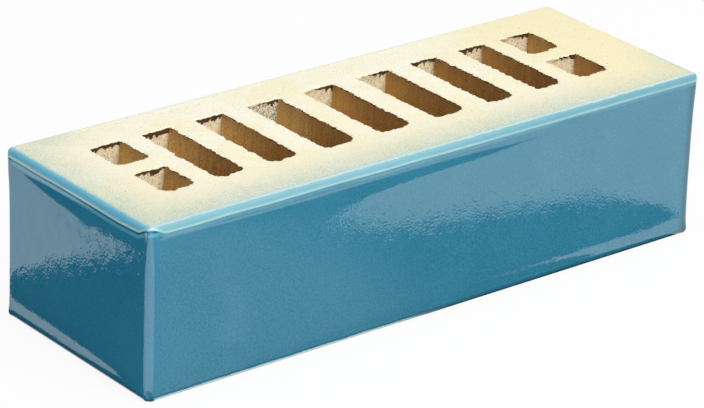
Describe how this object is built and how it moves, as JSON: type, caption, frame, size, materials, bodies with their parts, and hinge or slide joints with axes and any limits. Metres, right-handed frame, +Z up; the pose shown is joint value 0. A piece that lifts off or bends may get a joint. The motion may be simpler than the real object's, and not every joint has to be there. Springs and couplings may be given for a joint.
{
  "type": "glazed perforated clay brick",
  "caption": "Clay facing brick with a row of slots running through from bed to bed and a glossy turquoise-blue glaze on its four sides.",
  "frame": {"origin": "middle of the lower bed, on the floor", "axes": "+X along the length, +Y along the width, +Z up from bed to bed"},
  "size_m": [0.25, 0.085, 0.065],
  "materials": {
    "glazed_clay": "glossy glaze on the four sides, bare sandy clay on both beds and in the slots"
  },
  "bodies": {
    "root": {"brick": "glazed_clay"}
  },
  "joints": []
}
